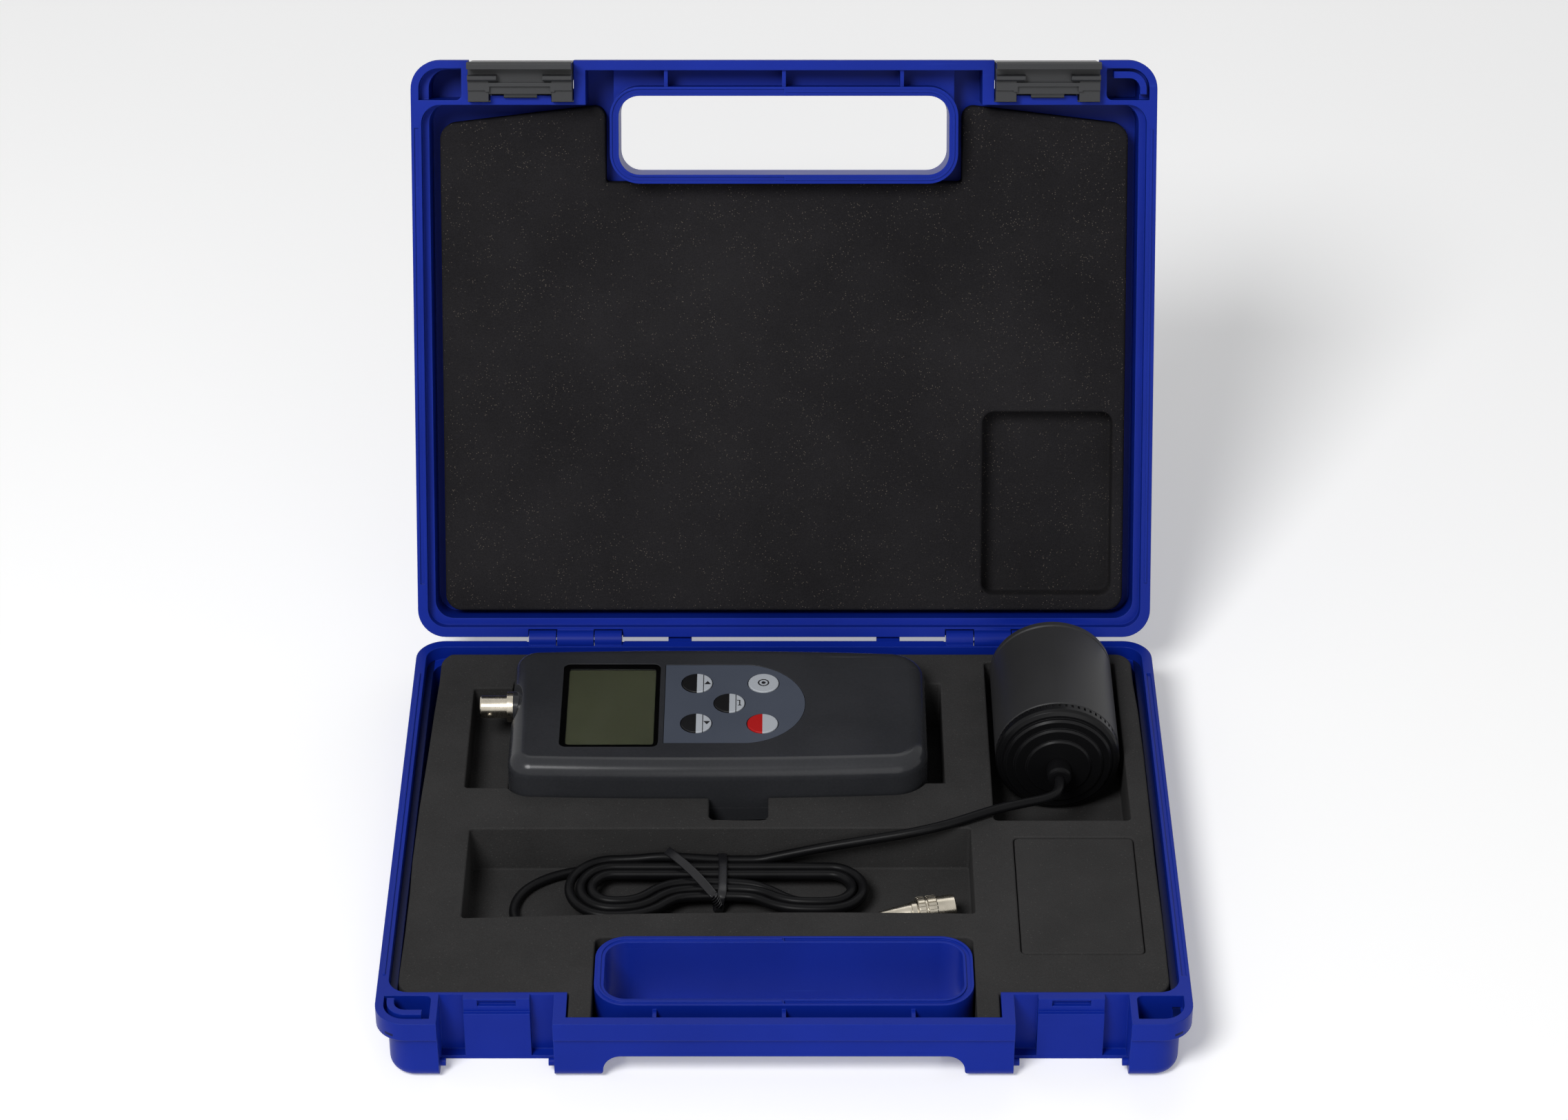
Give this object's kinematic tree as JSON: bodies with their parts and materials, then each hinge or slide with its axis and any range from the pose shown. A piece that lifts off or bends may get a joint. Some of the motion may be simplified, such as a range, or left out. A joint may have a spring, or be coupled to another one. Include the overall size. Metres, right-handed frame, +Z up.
{
  "type": "cased colorimeter",
  "caption": "Hand-held colour meter with a round sensor head on a coiled lead, held in die-cut foam in a hinged, latched carrying case with a moulded handle.",
  "frame": {"origin": "centre of the case's flat underside", "axes": "+Z up, +X to the right seen from the handle side, handle and latches at -Y, hinge at +Y; the lid stands open at rest"},
  "size_m": [0.316, 0.3819, 0.2586],
  "materials": {
    "case_plastic": "satin polypropylene",
    "latch_plastic": "satin",
    "pin_steel": "bright",
    "foam": "die-cut closed-cell foam",
    "meter_plastic": "gloss",
    "window": "clear",
    "lcd": "unlit display",
    "overlay": "printed film",
    "key_dark": "printed film",
    "key_pale": "printed film",
    "key_red": "printed film",
    "board": "glass epoxy",
    "contact": "plated",
    "cells": "sleeved",
    "nickel": "nickel plate",
    "insulator": "white",
    "head_black": "black anodised",
    "cap_black": "gloss",
    "lead_rubber": "satin",
    "tie": "satin",
    "optics": "clear",
    "chip": "moulded"
  },
  "bodies": {
    "case_base": {"base_shell": "case_plastic", "hinge_pins": "pin_steel", "base_foam": "foam", "foam_plug": "foam"},
    "lid": {"lid_shell": "case_plastic", "lid_foam": "foam"},
    "latch_left": {"latch_left": "latch_plastic"},
    "latch_right": {"latch_right": "latch_plastic"},
    "meter": {"meter_front": "meter_plastic", "meter_rear": "meter_plastic", "display_window": "window", "keypad_overlay": "overlay", "main_board": "board", "lcd_panel": "lcd", "key_domes": "contact", "board_chips": "board", "battery_cells": "cells", "battery_plates": "contact", "battery_springs": "contact", "meter_screws": "pin_steel", "socket_shell": "nickel", "socket_bush": "insulator", "socket_contact": "contact", "socket_nut": "nickel"},
    "battery_door": {"battery_door": "meter_plastic"},
    "sensor_head": {"head_barrel": "head_black", "nose_ring": "head_black", "nose_window": "optics", "light_cup": "insulator", "sensor_chip": "chip", "sensor_board": "board", "light_leds": "optics", "rear_cap": "cap_black", "cable_boot": "lead_rubber", "lead_free": "lead_rubber", "lead_hank": "lead_rubber", "lead_tail": "lead_rubber", "hank_tie": "tie", "plug_tail": "nickel", "plug_body": "nickel", "plug_pin": "contact", "plug_bush": "insulator"},
    "plug_sleeve": {"plug_sleeve": "nickel"},
    "up_key": {"up_key": "key_dark"},
    "enter_key": {"enter_key": "key_dark"},
    "down_key": {"down_key": "key_dark"},
    "lamp_key": {"lamp_key": "key_pale"},
    "power_key": {"power_key": "key_red"}
  },
  "joints": [
    {"name": "lid_hinge", "type": "hinge", "parent": "case_base", "child": "lid", "pos_m": [0, 0.1241, 0.02965], "axis": [-1, 0, 0], "range_deg": [-116, 0]},
    {"name": "latch_left_hinge", "type": "hinge", "parent": "lid", "child": "latch_left", "pos_m": [-0.11135, 0.2526, 0.23689], "axis": [-1, 0, 0], "range_deg": [0, 56]},
    {"name": "latch_right_hinge", "type": "hinge", "parent": "lid", "child": "latch_right", "pos_m": [0.11135, 0.2526, 0.23689], "axis": [-1, 0, 0], "range_deg": [0, 56]},
    {"name": "meter_lift", "type": "slide", "parent": "case_base", "child": "meter", "axis": [0, 0, 1], "range_m": [0, 0.06]},
    {"name": "head_lift", "type": "slide", "parent": "case_base", "child": "sensor_head", "axis": [0, 0, 1], "range_m": [0, 0.06]},
    {"name": "battery_door_slide", "type": "slide", "parent": "meter", "child": "battery_door", "axis": [1, 0, 0], "range_m": [0, 0.006]},
    {"name": "sleeve_turn", "type": "hinge", "parent": "sensor_head", "child": "plug_sleeve", "pos_m": [0.0385, -0.043, 0.014], "axis": [0.9816, 0.1908, 0], "continuous": true},
    {"name": "up_key_press", "type": "slide", "parent": "meter", "child": "up_key", "axis": [0, 0, -1], "range_m": [0, 0.0004], "stiffness_N_per_m": 400},
    {"name": "enter_key_press", "type": "slide", "parent": "meter", "child": "enter_key", "axis": [0, 0, -1], "range_m": [0, 0.0004], "stiffness_N_per_m": 400},
    {"name": "down_key_press", "type": "slide", "parent": "meter", "child": "down_key", "axis": [0, 0, -1], "range_m": [0, 0.0004], "stiffness_N_per_m": 400},
    {"name": "lamp_key_press", "type": "slide", "parent": "meter", "child": "lamp_key", "axis": [0, 0, -1], "range_m": [0, 0.0004], "stiffness_N_per_m": 400},
    {"name": "power_key_press", "type": "slide", "parent": "meter", "child": "power_key", "axis": [0, 0, -1], "range_m": [0, 0.0004], "stiffness_N_per_m": 400}
  ]
}
